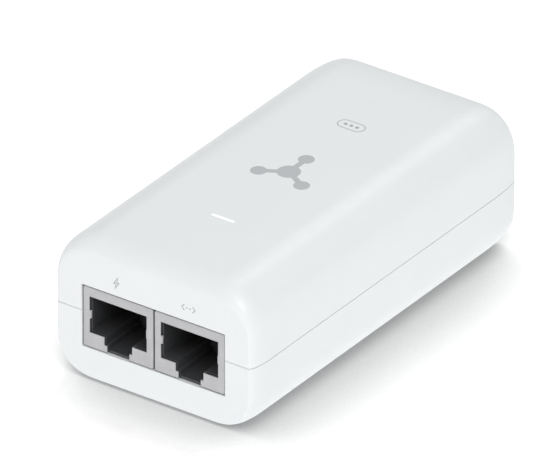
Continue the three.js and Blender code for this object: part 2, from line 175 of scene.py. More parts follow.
def flatten(obj, degrees=0.5):
    """Merges the coplanar triangles that cutting leaves, so that edges can be rounded cleanly."""
    def change(work):
        bmesh.ops.remove_doubles(work, verts=work.verts, dist=0.0005 * MM)
        bmesh.ops.dissolve_limit(
            work, angle_limit=math.radians(degrees), verts=work.verts, edges=work.edges)
    edit(obj.data, change)


def smooth(obj, degrees=32):
    """Smooth shading with sharp edges kept, weighted so that flat faces stay flat."""
    obj.data.shade_smooth()
    obj.data.set_sharp_from_angle(angle=math.radians(degrees))
    modifier = obj.modifiers.new("weighted_normals", "WEIGHTED_NORMAL")
    modifier.keep_sharp = True
    modifier.weight = 60


def soften(obj, width, segments=2, degrees=40):
    """Rounds the sharp edges and shades the piece smooth."""
    modifier = obj.modifiers.new("rounded_edges", "BEVEL")
    modifier.width = width
    modifier.segments = segments
    modifier.limit_method = "ANGLE"
    modifier.angle_limit = math.radians(degrees)
    bake(obj)
    smooth(obj)


# ---------------------------------------------------------------- materials

def new_material(name):
    """A principled material with object coordinates at hand."""
    material = bpy.data.materials.new(name)
    material.use_nodes = True
    nodes = material.node_tree.nodes
    links = material.node_tree.links
    shader = nodes["Principled BSDF"]
    place = nodes.new("ShaderNodeTexCoord")
    return material, nodes, links, shader, place.outputs["Object"]


def noise(nodes, links, place, scale, detail=3.0, roughness=0.5):
    node = nodes.new("ShaderNodeTexNoise")
    node.inputs["Scale"].default_value = scale
    node.inputs["Detail"].default_value = detail
    node.inputs["Roughness"].default_value = roughness
    links.new(place, node.inputs["Vector"])
    return node.outputs["Fac"]


def ramp(nodes, links, value, low, high, low_at=0.3, high_at=0.7):
    """A colour ramp from low to high, each a colour or a grey."""
    node = nodes.new("ShaderNodeValToRGB")
    for element, colour, at in zip(node.color_ramp.elements, (low, high), (low_at, high_at)):
        grey = isinstance(colour, (int, float))
        element.color = (colour, colour, colour, 1) if grey else (*colour, 1)
        element.position = at
    links.new(value, node.inputs["Fac"])
    return node.outputs["Color"]


def bump(nodes, links, shader, height, distance, strength=1.0):
    node = nodes.new("ShaderNodeBump")
    node.inputs["Distance"].default_value = distance
    node.inputs["Strength"].default_value = strength
    links.new(height, node.inputs["Height"])
    links.new(node.outputs["Normal"], shader.inputs["Normal"])


def shade(colour, factor):
    return tuple(c * factor for c in colour)


def moulded(name, colour, rough, grain, depth, spread=0.03, rough_spread=0.06, specular=0.5):
    """Moulded plastic: a spark-eroded grain, and faint unevenness of colour and gloss."""
    material, nodes, links, shader, place = new_material(name)
    broad = noise(nodes, links, place, 90, 2.0)
    links.new(ramp(nodes, links, broad, shade(colour, 1 - spread), colour), shader.inputs["Base Color"])
    links.new(ramp(nodes, links, noise(nodes, links, place, 700), rough - rough_spread,
                   rough + rough_spread), shader.inputs["Roughness"])
    shader.inputs["Specular IOR Level"].default_value = specular
    bump(nodes, links, shader, noise(nodes, links, place, grain, 4.0, 0.6), depth, 0.5)
    return material


def sheet_metal(name, colour, rough, brush=(1, 1, 1), metallic=1.0, depth=0.002 * MM):
    """Plated metal with a fine rolled grain that runs along the axis with the smallest brush value."""
    material, nodes, links, shader, place = new_material(name)
    mapping = nodes.new("ShaderNodeMapping")
    mapping.inputs["Scale"].default_value = brush
    links.new(place, mapping.inputs["Vector"])
    grain = noise(nodes, links, mapping.outputs["Vector"], 5200, 4.0, 0.65)
    cloud = noise(nodes, links, place, 420, 3.0)
    links.new(ramp(nodes, links, cloud, shade(colour, 0.93), colour), shader.inputs["Base Color"])
    links.new(ramp(nodes, links, grain, rough - 0.08, rough + 0.08), shader.inputs["Roughness"])
    shader.inputs["Metallic"].default_value = metallic
    bump(nodes, links, shader, grain, depth, 0.6)
    return material


def printed_ink(name, colour):
    material, nodes, links, shader, place = new_material(name)
    speckle = noise(nodes, links, place, 9000, 2.0)
    links.new(ramp(nodes, links, speckle, shade(colour, 0.95), shade(colour, 1.03)),
              shader.inputs["Base Color"])
    links.new(ramp(nodes, links, speckle, 0.5, 0.62), shader.inputs["Roughness"])
    bump(nodes, links, shader, speckle, 0.003 * MM, 0.4)
    return material


def lit_guide(name, colour, glow, dark_below=None):
    """A frosted light guide, lit from below. Below the height dark_below nothing glows."""
    material, nodes, links, shader, place = new_material(name)
    frost = noise(nodes, links, place, 2500, 3.0)
    links.new(ramp(nodes, links, frost, shade(colour, 0.96), colour), shader.inputs["Base Color"])
    links.new(ramp(nodes, links, frost, 0.3, 0.42), shader.inputs["Roughness"])
    glowing = ramp(nodes, links, frost, shade(colour, 0.97), colour)
    if dark_below is not None:
        split = nodes.new("ShaderNodeSeparateXYZ")
        above = nodes.new("ShaderNodeMath")
        above.operation = "GREATER_THAN"
        above.inputs[1].default_value = dark_below
        fade = nodes.new("ShaderNodeMix")
        fade.data_type = "RGBA"
        fade.inputs["A"].default_value = (0, 0, 0, 1)
        links.new(place, split.inputs["Vector"])
        links.new(split.outputs["Z"], above.inputs[0])
        links.new(above.outputs["Value"], fade.inputs["Factor"])
        links.new(glowing, fade.inputs["B"])
        glowing = fade.outputs["Result"]
    links.new(glowing, shader.inputs["Emission Color"])
    shader.inputs["Emission Strength"].default_value = glow
    return material


def wound(name, colour, gap_shade_colour, turns, axis="Z", rough=0.35, metallic=0.0, depth=0.04 * MM):
    """Wire or tape wound side by side: bands across one axis, with painted shade in the gaps between turns.
    """
    material, nodes, links, shader, place = new_material(name)
    bands = nodes.new("ShaderNodeTexWave")
    bands.wave_type = "BANDS"
    bands.bands_direction = axis
    bands.inputs["Scale"].default_value = turns
    bands.inputs["Distortion"].default_value = 0.6
    links.new(place, bands.inputs["Vector"])
    # The darker colour in the gaps between turns is painted shade.
    links.new(ramp(nodes, links, bands.outputs["Fac"], gap_shade_colour, colour, 0.05, 0.45),
              shader.inputs["Base Color"])
    links.new(ramp(nodes, links, noise(nodes, links, place, 1500), rough - 0.05, rough + 0.1),
              shader.inputs["Roughness"])
    shader.inputs["Metallic"].default_value = metallic
    bump(nodes, links, shader, bands.outputs["Fac"], depth, 0.7)
    return material


def board_laminate(name, mask, track):
    """Solder mask over copper tracks: a cell pattern stands for the copper pours underneath."""
    material, nodes, links, shader, place = new_material(name)
    cells = nodes.new("ShaderNodeTexVoronoi")
    cells.feature = "DISTANCE_TO_EDGE"
    cells.distance = "CHEBYCHEV"
    cells.inputs["Scale"].default_value = 260
    links.new(place, cells.inputs["Vector"])
    edges = ramp(nodes, links, cells.outputs["Distance"], mask, track, 0.04, 0.07)
    links.new(edges, shader.inputs["Base Color"])
    links.new(ramp(nodes, links, noise(nodes, links, place, 1800), 0.28, 0.42),
              shader.inputs["Roughness"])
    bump(nodes, links, shader, cells.outputs["Distance"], 0.01 * MM, 0.3)
    return material


WHITE = moulded("white_case_plastic", (0.765, 0.79, 0.798), 0.36, 5200, 0.004 * MM, 0.012, 0.05, 0.45)
BLACK = moulded("black_jack_plastic", (0.05, 0.052, 0.056), 0.42, 3600, 0.006 * MM, 0.2, 0.08)
INLET_BLACK = moulded("black_inlet_plastic", (0.022, 0.023, 0.026), 0.48, 3000, 0.008 * MM, 0.2, 0.08)
CHIP = moulded("chip_epoxy", (0.03, 0.03, 0.033), 0.55, 4200, 0.008 * MM, 0.25, 0.08)
SLEEVE = moulded("capacitor_sleeve", (0.035, 0.03, 0.05), 0.3, 1500, 0.004 * MM, 0.2)
FERRITE = moulded("sintered_ferrite", (0.045, 0.045, 0.05), 0.6, 2600, 0.015 * MM, 0.3)
BLUE_COAT = moulded("blue_dipped_coat", (0.04, 0.14, 0.42), 0.28, 900, 0.02 * MM, 0.2)
GREEN_COAT = moulded("green_dipped_coat", (0.05, 0.24, 0.11), 0.3, 900, 0.02 * MM, 0.2)
FILM = moulded("insulating_film", (0.55, 0.56, 0.54), 0.4, 800, 0.01 * MM, 0.1)
YELLOW_BOX = moulded("yellow_film_box", (0.75, 0.48, 0.06), 0.4, 2200, 0.01 * MM, 0.12)
PHOSPHOR = lit_guide("led_phosphor", (1.0, 0.93, 0.6), 0.05)
GUIDE = lit_guide("frosted_light_guide", (0.98, 0.99, 1.0), 0.25, CASE_HEIGHT - 0.4 * MM)
SHIELD = sheet_metal("matt_nickel_shield", (0.488, 0.49, 0.498), 0.5, (1, 1, 0.2), 0.55)
BRIGHT = sheet_metal("bright_nickel", (0.72, 0.7, 0.66), 0.24, (1, 0.2, 1))
GOLD = sheet_metal("gold_flash", (0.95, 0.68, 0.28), 0.24, (1, 0.2, 1))
ALUMINIUM = sheet_metal("rolled_aluminium", (0.66, 0.67, 0.68), 0.4, (0.1, 0.1, 1))
GREY_INK = printed_ink("grey_ink", (0.455, 0.48, 0.49))
DARK_INK = printed_ink("dark_ink", (0.36, 0.375, 0.385))
# The second colour of each winding is painted shade for the gaps between its turns.
COPPER = wound("enamelled_winding", (0.62, 0.24, 0.08), (0.12, 0.04, 0.02), 420, "Y", 0.3, 0.8)
TAPE = wound("wound_yellow_tape", (0.83, 0.6, 0.1), (0.6, 0.4, 0.05), 60, "Z", 0.35)
LAMINATE = board_laminate("solder_mask", (0.015, 0.11, 0.05), (0.02, 0.19, 0.08))


def wear(obj, material):
    """Gives a piece its material."""
    obj.data.materials.clear()
    obj.data.materials.append(material)
    return obj


# ---------------------------------------------------------------- the case

# The section's corners are superellipses: the power, and each corner's width and height.
CORNER_POWER = 2.43
TOP_CORNER = (9.5 * MM, 9.7 * MM)
BASE_CORNER = (9.1 * MM, 9.7 * MM)
CORNER_SHRINK = 0.8  # share of an inset by which the corner itself gets smaller
# Each shoulder is how far the surface closes in at an end, over how much of the length, and the
# power of its superellipse.
FRONT_SIDE_SHOULDER = (1.4 * MM, 5.5 * MM, 2.2)
REAR_SIDE_SHOULDER = (1.15 * MM, 9.0 * MM, 2.0)
FRONT_TOP_SHOULDER = (3.2 * MM, 4.6 * MM, 2.3)
REAR_TOP_SHOULDER = (1.1 * MM, 8.6 * MM, 2.0)
BASE_SHOULDER = (0.85 * MM, 6.8 * MM, 2.0)


def closed_in(shoulder, depth):
    """How far a shoulder has closed in at this depth behind the end face."""
    reach, along, power = shoulder
    return reach * (1 - (1 - (1 - min(depth / along, 1)) ** power) ** (1 / power))


def case_ring(inset, depth, end, steps):
    """One ring of the case's surface, depth behind an end face."""
    side_shoulder = FRONT_SIDE_SHOULDER if end < 0 else REAR_SIDE_SHOULDER
    top_shoulder = FRONT_TOP_SHOULDER if end < 0 else REAR_TOP_SHOULDER
    side_inset = inset + closed_in(side_shoulder, depth)
    y = end * (CASE_HALF_LENGTH - inset - depth)
    ring = []

    def corner(side, is_top, degrees):
        across, tall = TOP_CORNER if is_top else BASE_CORNER
        lip_inset = inset + closed_in(top_shoulder if is_top else BASE_SHOULDER, depth)
        angle = math.radians(degrees)
        cosine, sine = max(math.cos(angle), 0), math.sin(angle)
        across -= CORNER_SHRINK * side_inset
        tall -= CORNER_SHRINK * lip_inset
        x = CASE_HALF_WIDTH - side_inset - across * (1 - cosine ** (2 / CORNER_POWER))
        from_edge = lip_inset + tall * (1 - sine ** (2 / CORNER_POWER))
        ring.append((side * x, y, CASE_HEIGHT - from_edge if is_top else from_edge))

    angles = [90 * i / steps for i in range(steps + 1)]
    for degrees in angles:
        corner(1, True, degrees)
    for degrees in reversed(angles):
        corner(-1, True, degrees)
    for degrees in angles:
        corner(-1, False, degrees)
    for degrees in reversed(angles):
        corner(1, False, degrees)
    return ring


def case_body(name, inset, steps=20, shoulder_steps=26):
    """The case's outer form, inset all round. Its rings crowd towards the end faces."""
    crowding = 2.2
    depths = [REAR_SIDE_SHOULDER[1] * (i / shoulder_steps) ** crowding
              for i in range(shoulder_steps + 1)]
    front = [case_ring(inset, depth, -1, steps) for depth in depths]
    rear = [case_ring(inset, depth, 1, steps) for depth in reversed(depths)]
    return loft(name, front + rear)


def inner_body(name, inset):
    """The same form with fewer facets, for surfaces that lie inside the case."""
    return case_body(name, inset, 8, 10)


def slab(name, z0, z1):
    """A layer that reaches past the case on every side."""
    half_x, half_y = 50 * MM, 60 * MM
    return box(name, (-half_x, -half_y, z0), (half_x, half_y, z1))


def flared_cutter(name, outline_at, face, inwards, depth, lip):
    """Cuts an opening whose rim is rounded by lip. outline_at gives the outline grown by a distance,
    face is where the wall's outer face lies on Y, and inwards is the sign of the way in."""
    steps = 5
    rings = [[(x, face - inwards * MM, z) for x, z in outline_at(lip)]]
    for i in range(steps + 1):
        turn = math.radians(90 * i / steps)
        grow = lip * (1 - math.sin(turn))
        y = face + inwards * lip * (1 - math.cos(turn))
        rings.append([(x, y, z) for x, z in outline_at(grow)])
    rings.append([(x, face + inwards * depth, z) for x, z in outline_at(0)])
    return loft(name, rings)


SEAM_GAP = 0.04 * MM
# Two grooves, wide and shallow then narrow and deep, make the soft edges along the seam.
SEAM_GROOVES = [(0.13 * MM, 0.05 * MM), (0.08 * MM, 0.11 * MM)]
# The lower shell's tongue stands in the upper shell's rebate: insets, and reach up and down from the seam.
REBATE_INSET, REBATE_UP = 1.0 * MM, 1.7 * MM
TONGUE_INSET, TONGUE_DOWN, TONGUE_UP = 1.3 * MM, 1.2 * MM, 1.4 * MM
POST_RADIUS, POST_HOLE, POST_FOOT = 2.6 * MM, 1.3 * MM, 2.0 * MM
# Gaps round the pair of shields, and how deep and how softly the openings are cut.
PORT_SIDE, PORT_TOP, PORT_BOTTOM = 0.235 * MM, 0.3 * MM, 0.15 * MM
OPENING_DEPTH, PORT_LIP, INLET_LIP = 3.4 * MM, 0.04 * MM, 0.2 * MM
INLET_GAP, INLET_CORNER = 0.2 * MM, 3.2 * MM
FRONT = -CASE_HALF_LENGTH + SKIN
REAR = CASE_HALF_LENGTH - SKIN

shield_low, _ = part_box("poe_jack_shield")
_, shield_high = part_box("data_jack_shield")
inlet_low, inlet_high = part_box("inlet_housing")
guide_low, guide_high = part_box("led_light_pipe")
GUIDE_AT = ((guide_low.x + guide_high.x) / 2, (guide_low.y + guide_high.y) / 2)
GUIDE_HALF = 2.6 * MM
GUIDE_RADIUS = 0.31 * MM
GUIDE_GAP = 0.03 * MM


def port_outline(grow):
    low_z = shield_low.z - PORT_BOTTOM
    high_z = shield_high.z + PORT_TOP
    half = (shield_high.x - shield_low.x) / 2 + PORT_SIDE
    return rounded_rectangle(
        half + grow, (high_z - low_z) / 2 + grow, 0.15 * MM + grow, 4, (0, (high_z + low_z) / 2))


def inlet_outline(grow):
    half_width = (inlet_high.x - inlet_low.x) / 2 + INLET_GAP
    half_height = (inlet_high.z - inlet_low.z) / 2 + INLET_GAP
    return rounded_rectangle(
        half_width + grow, half_height + grow, INLET_CORNER + grow, 8, (0, (inlet_low.z + inlet_high.z) / 2))


def case_cutters(name):
    """The jack port, the inlet hole and the slot over the light guide."""
    port = flared_cutter(name + "_port", port_outline, FRONT, 1, OPENING_DEPTH, PORT_LIP)
    rear = flared_cutter(name + "_rear", inlet_outline, REAR, -1, OPENING_DEPTH, INLET_LIP)
    slot = upright_prism(
        name + "_slot",
        rounded_rectangle(GUIDE_HALF + GUIDE_GAP, GUIDE_RADIUS + GUIDE_GAP, GUIDE_RADIUS, 8, GUIDE_AT),
        CASE_HEIGHT - 2 * WALL, CASE_HEIGHT + MM)
    return [port, rear, slot]


def seam_cut(name, half_height, depth):
    """The ring of space that a groove along the seam takes out of the case."""
    ring = inner_body(name, -0.5 * MM)
    combine(ring, case_body(name + "_core", SKIN + depth))
    return combine(ring, slab(name + "_slab", SEAM_HEIGHT - half_height, SEAM_HEIGHT + half_height),
                   "INTERSECT")


def finish_shell(shell, node):
    for i, (half_height, depth) in enumerate(SEAM_GROOVES):
        combine(shell, seam_cut(f"groove_{i}", half_height, depth))
    for cutter in case_cutters("cut"):
        combine(shell, cutter)
    flatten(shell, 0.02)
    smooth(shell, 28)
    wear(shell, WHITE)
    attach(shell, "case")
    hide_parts(node)


def upper_case():
    shell = case_body("upper_case", SKIN)
    combine(shell, slab("below", -MM, SEAM_HEIGHT + SEAM_GAP / 2))
    combine(shell, inner_body("inside", WALL))
    rebate = inner_body("rebate", REBATE_INSET)
    combine(rebate, slab("band", 0, SEAM_HEIGHT + REBATE_UP), "INTERSECT")
    combine(shell, rebate)
    finish_shell(shell, "upper_shell")


def lower_case():
    shell = case_body("lower_case", SKIN)
    combine(shell, slab("above", SEAM_HEIGHT - SEAM_GAP / 2, CASE_HEIGHT + MM))
    combine(shell, inner_body("inside", WALL))
    tongue = inner_body("tongue", TONGUE_INSET)
    combine(tongue, inner_body("tongue_inside", WALL))
    combine(tongue, slab("band", SEAM_HEIGHT - TONGUE_DOWN, SEAM_HEIGHT + TONGUE_UP), "INTERSECT")
    combine(shell, tongue, "UNION")
    for side in ("left", "right"):
        place = middle(f"board_screw_{side}")
        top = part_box("insulating_sheet")[0].z - 0.3 * MM
        combine(shell, round_rod("post", place, POST_RADIUS, POST_FOOT, top), "UNION")
        combine(shell, round_rod("post_hole", place, POST_HOLE, POST_FOOT, top + MM))
    finish_shell(shell, "lower_shell")


def round_rod(name, place, radius, z0, z1, sides=32):
    ring = [(place.x + radius * math.cos(2 * math.pi * i / sides),
             place.y + radius * math.sin(2 * math.pi * i / sides)) for i in range(sides)]
    return upright_prism(name, ring, z0, z1)


upper_case()
lower_case()


# ---------------------------------------------------------------- light guide

def light_guide():
    bar = upright_prism(
        "light_guide_bar", rounded_rectangle(GUIDE_HALF, GUIDE_RADIUS, GUIDE_RADIUS - 0.01 * MM, 8, GUIDE_AT),
        guide_low.z + MM, CASE_HEIGHT - SKIN)
    foot = upright_prism(
        "foot", rounded_rectangle(3.5 * MM, MM, 0.4 * MM, 5, GUIDE_AT),
        guide_low.z, CASE_HEIGHT - WALL - 0.3 * MM)
    combine(bar, foot, "UNION")
    soften(bar, 0.05 * MM)
    wear(bar, GUIDE)
    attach(bar, "case")
    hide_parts("led_light_pipe")


light_guide()


# ---------------------------------------------------------------- network jacks

# Heights above the jack's bottom edge and half widths of the plug opening.
MOUTH_TOP, MOUTH_FLOOR, MOUTH_STEP = 10.99 * MM, 3.19 * MM, 1.5 * MM
MOUTH_HALF, STEP_HALF, SLOT_HALF = 6.55 * MM, 3.2 * MM, 2.565 * MM
SHEET, SHEET_BEND = 0.2 * MM, 0.2 * MM
FINGER_BELOW, FINGER_TALL, FINGER_OUT, FINGER_DEEP = 3.06 * MM, 1.7 * MM, 0.33 * MM, 0.36 * MM
CONTACT_COUNT, CONTACT_PITCH = 8, 1.016 * MM
# The housing's roof over the contact wires: its height above the jack's bottom edge, half its width,
# how deep the plug space is, and how deep the comb that parts the wires is.
ROOF_HEIGHT, ROOF_HALF, PLUG_DEPTH, COMB_DEPTH = 11.95 * MM, 4.7 * MM, 12.2 * MM, 4.4 * MM
CHANNEL_HALF = 0.36 * MM


def mouth_outline(x, z, tight=0.0, foot=-MM):
    """The plug opening, made smaller all round by tight, with its latch channel down to foot."""
    half = [
        (SLOT_HALF - tight, foot), (SLOT_HALF - tight, MOUTH_STEP + tight),
        (STEP_HALF - tight, MOUTH_STEP + tight), (STEP_HALF - tight, MOUTH_FLOOR + tight),
        (MOUTH_HALF - tight, MOUTH_FLOOR + tight), (MOUTH_HALF - tight, MOUTH_TOP - tight),
    ]
    left = [(-a, b) for a, b in reversed(half)]
    return [(x + a, z + b) for a, b in half + left]


def strip(name, line, thick, z0, z1):
    """A bent strip of sheet: line is its centre line in the XY plane, and it stands from z0 to z1."""
    sides = [[], []]
    for i, (x, y) in enumerate(line):
        ax, ay = line[max(i - 1, 0)]
        bx, by = line[min(i + 1, len(line) - 1)]
        length = math.hypot(bx - ax, by - ay)
        nx, ny = -(by - ay) / length * thick / 2, (bx - ax) / length * thick / 2
        sides[0].append((x + nx, y + ny))
        sides[1].append((x - nx, y - ny))
    return upright_prism(name, sides[0] + sides[1][::-1], z0, z1)


def jack_shield(name):
    node = f"{name}_jack_shield"
    low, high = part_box(node)
    x = (low.x + high.x) / 2
    half_width, half_height = (high.x - low.x) / 2, (high.z - low.z) / 2
    centre = (x, (low.z + high.z) / 2)

    def outline(inset):
        return rounded_rectangle(half_width - inset, half_height - inset, 0.45 * MM - inset, 5, centre)

    rings = []
    for i in range(6):
        turn = math.radians(90 * i / 5)
        y = low.y + SHEET_BEND * (1 - math.cos(turn))
        rings.append([(a, y, b) for a, b in outline(SHEET_BEND * (1 - math.sin(turn)))])
    rings.append([(a, high.y, b) for a, b in outline(0)])
    shield = loft(f"{name}_shield", rings)
    inside = front_prism("inside", rounded_rectangle(
        half_width - SHEET, half_height - SHEET, 0.2 * MM, 4, centre), low.y + SHEET, high.y - SHEET)
    combine(shield, inside)
    combine(shield, box("foot", (x - half_width + 0.6 * MM, low.y + SHEET, low.z - MM),
                        (x + half_width - 0.6 * MM, high.y - SHEET, low.z + MM)))
    combine(shield, front_prism("mouth", mouth_outline(x, low.z), low.y - MM, low.y + MM))
    for side in (-1, 1):
        tab_top = low.z + MOUTH_TOP - FINGER_BELOW
        line = [(MOUTH_HALF + SHEET, SHEET / 2)]
        for i in range(7):
            turn = math.radians(90 * i / 6)
            line.append((MOUTH_HALF - (FINGER_OUT - SHEET / 2) * math.sin(turn),
                         SHEET / 2 + FINGER_DEEP * (1 - math.cos(turn))))
        bent = [(x + side * a, low.y + b) for a, b in line]
        combine(shield, strip("finger", bent, SHEET * 0.98, tab_top - FINGER_TALL, tab_top), "UNION")
    flatten(shield)
    soften(shield, 0.06 * MM)
    wear(shield, SHIELD)
    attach(shield, "case")
    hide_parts(node)


def jack_housing(name):
    """Black moulding: plug space, latch channel, the roof space of the contact wires and its comb."""
    node = f"{name}_jack_housing"
    low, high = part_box(node)
    x = (low.x + high.x) / 2
    front, back = low.y, low.y + PLUG_DEPTH
    housing = box(f"{name}_housing", low, high)
    base = low.z
    combine(housing, front_prism("plug", rounded_rectangle(
        MOUTH_HALF - 0.35 * MM, (MOUTH_TOP - MOUTH_FLOOR) / 2 - 0.16 * MM, 0.25 * MM, 3,
        (x, base + (MOUTH_TOP + MOUTH_FLOOR) / 2)), front - MM, back))
    combine(housing, box("step", (x - STEP_HALF + 0.1 * MM, front - MM, base + MOUTH_STEP + 0.12 * MM),
                         (x + STEP_HALF - 0.1 * MM, back - 1.5 * MM, base + MOUTH_FLOOR + MM)))
    combine(housing, box("slot", (x - SLOT_HALF + 0.05 * MM, front - MM, base + 0.55 * MM),
                         (x + SLOT_HALF - 0.05 * MM, back - 1.5 * MM, base + MOUTH_STEP + MM)))
    roof = base + ROOF_HEIGHT
    comb_end = front + COMB_DEPTH
    combine(housing, box("roof", (x - ROOF_HALF, comb_end, base + MOUTH_TOP - MM),
                         (x + ROOF_HALF, back, roof)))
    for wire_x in contact_places(x):
        combine(housing, box("channel", (wire_x - CHANNEL_HALF, front + 1.2 * MM, base + MOUTH_TOP - MM),
                             (wire_x + CHANNEL_HALF, comb_end + 0.1 * MM, roof)))
    combine(housing, box("rear", (x - ROOF_HALF, back - MM, base - MM),
                         (x + ROOF_HALF, back + 1.4 * MM, roof)))
    flatten(housing)
    soften(housing, 0.12 * MM)
    wear(housing, BLACK)
    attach(housing, "case")
    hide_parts(node)


def contact_places(x):
    return [x + (i - (CONTACT_COUNT - 1) / 2) * CONTACT_PITCH for i in range(CONTACT_COUNT)]


def contact_path(pivot):
    """The centre line of one wire: round its hook, down into the plug space, and up at the tip."""
    hook, slope, leg, tip, tip_rise = 0.5 * MM, 24, 7.4 * MM, 1.1 * MM, 20
    path = [(pivot[0] + 0.3 * MM, pivot[1] + hook)]
    for i in range(13):
        angle = math.radians(90 + (180 - slope) * i / 12)
        path.append((pivot[0] + hook * math.cos(angle), pivot[1] + hook * math.sin(angle)))
    y, z = path[-1]
    down, up = math.radians(-slope), math.radians(tip_rise)
    bend = 0.35 * MM
    for i in range(1, 5):
        share = (leg - bend) * i / 4
        path.append((y + share * math.cos(down), z + share * math.sin(down)))
    y, z = y + leg * math.cos(down), z + leg * math.sin(down)
    for i in range(1, 4):
        angle = down + (up - down) * i / 4
        path.append((y + bend * math.sin(angle) * 0.6, z + bend * (1 - math.cos(angle)) * 0.6))
    path.append((y + tip * math.cos(up), z + tip * math.sin(up)))
    return path


def tube(name, points, radius, sides=12):
    """A round wire through points, with domed ends."""
    centres = [Vector(p) for p in points]
    rings = []
    for i, centre in enumerate(centres):
        ahead = (centres[min(i + 1, len(centres) - 1)] - centres[max(i - 1, 0)]).normalized()
        across = Vector((1, 0, 0))
        other = ahead.cross(across).normalized()
        ends = {0: [(-0.6, 0.55), (-0.25, 0.9), (0, 1)],
                len(centres) - 1: [(0, 1), (0.25, 0.9), (0.6, 0.55)]}
        turns = [2 * math.pi * k / sides for k in range(sides)]
        for shift, grow in ends.get(i, [(0, 1)]):
            rings.append([
                centre + ahead * shift * radius
                + (across * math.cos(turn) + other * math.sin(turn)) * radius * grow
                for turn in turns
            ])
    return loft(name, rings)


def contact_wires(name):
    hook_reach, radius = 0.66 * MM, 0.16 * MM
    for i in range(1, CONTACT_COUNT + 1):
        node = f"{name}_contact_{i}"
        low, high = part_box(node)
        pivot = (low.y + hook_reach, high.z - hook_reach)
        x = (low.x + high.x) / 2
        wire = tube(f"{name}_wire_{i}", [(x, y, z) for y, z in contact_path(pivot)], radius)
        smooth(wire, 50)
        wear(wire, GOLD)
        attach(wire, f"{name}_contacts")
        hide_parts(node)


for jack in ("poe", "data"):
    jack_shield(jack)
    jack_housing(jack)
    contact_wires(jack)


# ---------------------------------------------------------------- mains inlet

PIN_RADIUS = 1.18 * MM


def inlet():
    x, z = 0.0, (inlet_low.z + inlet_high.z) / 2
    face = inlet_high.y
    body = front_prism("inlet_body", rounded_rectangle(
        (inlet_high.x - inlet_low.x) / 2, (inlet_high.z - inlet_low.z) / 2, 3 * MM, 8, (x, z)),
        inlet_low.y, face)
    floor = face - 11.6 * MM
    lobe = 4.1 * MM
    pins = {"inlet_line_pin": None, "inlet_neutral_pin": None, "inlet_earth_pin": None}
    for node in pins:
        pins[node] = middle(node)
        combine(body, y_rod("lobe", pins[node], lobe, floor, face + MM, 48))
    earth, line = pins["inlet_earth_pin"], pins["inlet_line_pin"]
    combine(body, box("middle", (-lobe * 0.9, floor, earth.z), (lobe * 0.9, face + MM, line.z + lobe * 0.62)))
    for place in pins.values():
        combine(body, y_rod("pin_hole", place, PIN_RADIUS + 0.03 * MM, inlet_low.y - MM, floor + MM, 32))
    flatten(body)
    soften(body, 0.2 * MM, 3)
    wear(body, INLET_BLACK)
    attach(body, "case")
    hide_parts("inlet_housing")
    for node, place in pins.items():
        low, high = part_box(node)
        pin = loft(node.replace("_pin", "_prong"), [
            [(place.x + PIN_RADIUS * grow * math.cos(turn), y, place.z + PIN_RADIUS * grow * math.sin(turn))
             for turn in [2 * math.pi * k / 32 for k in range(32)]]
            for y, grow in pin_profile(low.y, high.y)])
        smooth(pin, 50)
        wear(pin, BRIGHT)
        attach(pin, "case")
        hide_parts(node)


def pin_profile(y0, y1):
    """Stations along a pin and its share of the full radius there: straight, then a domed tip."""
    dome = 1.0 * MM
    last = math.radians(80)
    stations = [(y0, 1.0)]
    for i in range(7):
        turn = last * i / 6
        stations.append((y1 - dome + dome * math.sin(turn) / math.sin(last), math.cos(turn)))
    return stations


def y_rod(name, place, radius, y0, y1, sides=32):
    ring = [(place.x + radius * math.cos(2 * math.pi * i / sides),
             place.z + radius * math.sin(2 * math.pi * i / sides)) for i in range(sides)]
    return front_prism(name, ring, y0, y1)


inlet()


# ---------------------------------------------------------------- printed marks

INK = 0.02 * MM


def on_top(x, y):
    """Turns a point of a mark, and a lift off the surface, into a place on the case's top."""
    return lambda point, lift: (x + point[0], y + point[1], CASE_HEIGHT - SKIN + lift)


def on_front(x, z):
    return lambda point, lift: (x + point[0], FRONT - lift, z + point[1])


def patch(outline, place, depth=INK):
    """A thin solid on the surface, as thick as the ink above it and as much below."""
    return loft("patch", [[place(point, lift) for point in outline] for lift in (-depth, depth)])


def moved_sideways(line, distance, closed):
    """The line moved to its left by distance, with mitred corners."""
    count = len(line)
    moved = []
    for i, point in enumerate(line):
        here = Vector(point)
        before = Vector(line[i - 1] if closed or i else point)
        after = Vector(line[(i + 1) % count] if closed or i + 1 < count else point)
        first = (here - before) if here != before else (after - here)
        second = (after - here) if after != here else first
        normals = [Vector((-v.y, v.x)).normalized() for v in (first, second)]
        mitre = (normals[0] + normals[1]).normalized()
        moved.append(here + mitre * distance / max(mitre.dot(normals[0]), 0.35))
    return moved


def stroke(line, width, place, closed=False):
    left = moved_sideways(line, width / 2, closed)
    right = moved_sideways(line, -width / 2, closed)
    if not closed:
        return patch(left + right[::-1], place)
    outside, inside = sorted((left, right), key=span, reverse=True)
    return combine(patch(outside, place), patch(inside, place, 3 * INK))


def span(line):
    return max(p.y for p in line) - min(p.y for p in line)


def arc(centre, radius, start, end, steps=24):
    angles = [math.radians(start + (end - start) * i / steps) for i in range(steps + 1)]
    return [(centre[0] + radius * math.cos(a), centre[1] + radius * math.sin(a)) for a in angles]


def disc(centre, radius, place, sides=32):
    return patch(arc(centre, radius, 0, 360 - 360 / sides, sides - 1), place)


def printed(name, patches, material):
    """Joins patches of ink into one mark on the case."""
    mark = patches[0]
    for patch_of_ink in patches[1:]:
        combine(mark, patch_of_ink, "UNION")
    mark.name = mark.data.name = name
    wear(mark, material)
    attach(mark, "case")


